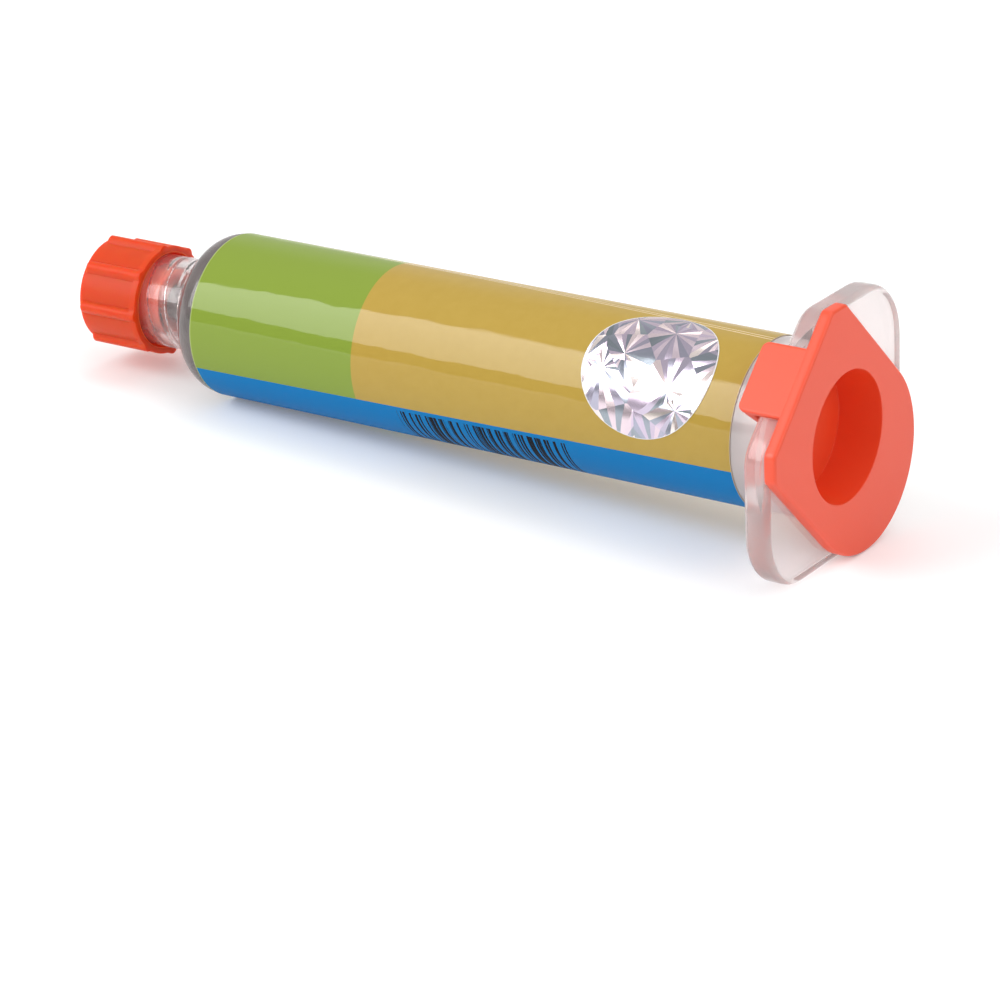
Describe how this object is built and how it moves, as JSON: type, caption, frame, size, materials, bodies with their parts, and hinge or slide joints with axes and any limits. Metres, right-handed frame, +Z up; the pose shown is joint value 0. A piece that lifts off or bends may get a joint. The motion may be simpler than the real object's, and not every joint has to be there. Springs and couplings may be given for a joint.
{
  "type": "solder paste syringe",
  "caption": "Filled dispensing syringe for solder paste, with a Luer lock nose cap, a clip-on end cap, a wiper piston and a wrapped label, lying on its side.",
  "frame": {"origin": "on the surface that the syringe lies on, under the middle of its bounding box", "axes": "+Z up from the surface; the barrel's axis lies in the XZ plane with the nose towards -X, sloping down to the nose by 3.4 degrees; +Y completes the frame"},
  "size_m": [0.101, 0.0294, 0.0293],
  "materials": {
    "clear_polypropylene": "clear natural moulding, polished",
    "tip_cap_orange": "satin moulding",
    "end_cap_orange": "satin moulding",
    "piston_white": "natural polyethylene",
    "solder_paste_grey": "dense metal-filled paste",
    "printed_film": "glossy laminated print",
    "hologram_foil": "embossed iridescent foil"
  },
  "bodies": {
    "barrel": {"barrel": "clear_polypropylene", "label": "printed_film", "hologram_sticker": "hologram_foil", "solder_paste": "solder_paste_grey"},
    "tip_cap": {"tip_cap": "tip_cap_orange"},
    "end_cap": {"end_cap": "end_cap_orange"},
    "piston": {"piston": "piston_white"}
  },
  "joints": [
    {"name": "tip_cap_slide", "type": "slide", "parent": "barrel", "child": "tip_cap", "axis": [-0.9981, 0, -0.0616], "range_m": [0, 0.02]},
    {"name": "end_cap_slide", "type": "slide", "parent": "barrel", "child": "end_cap", "axis": [0.9981, 0, 0.0616], "range_m": [0, 0.02], "deforming": ["end_cap"]},
    {"name": "piston_slide", "type": "slide", "parent": "barrel", "child": "piston", "axis": [-0.9981, 0, -0.0616], "range_m": [0, 0.039], "deforming": ["solder_paste"]}
  ]
}
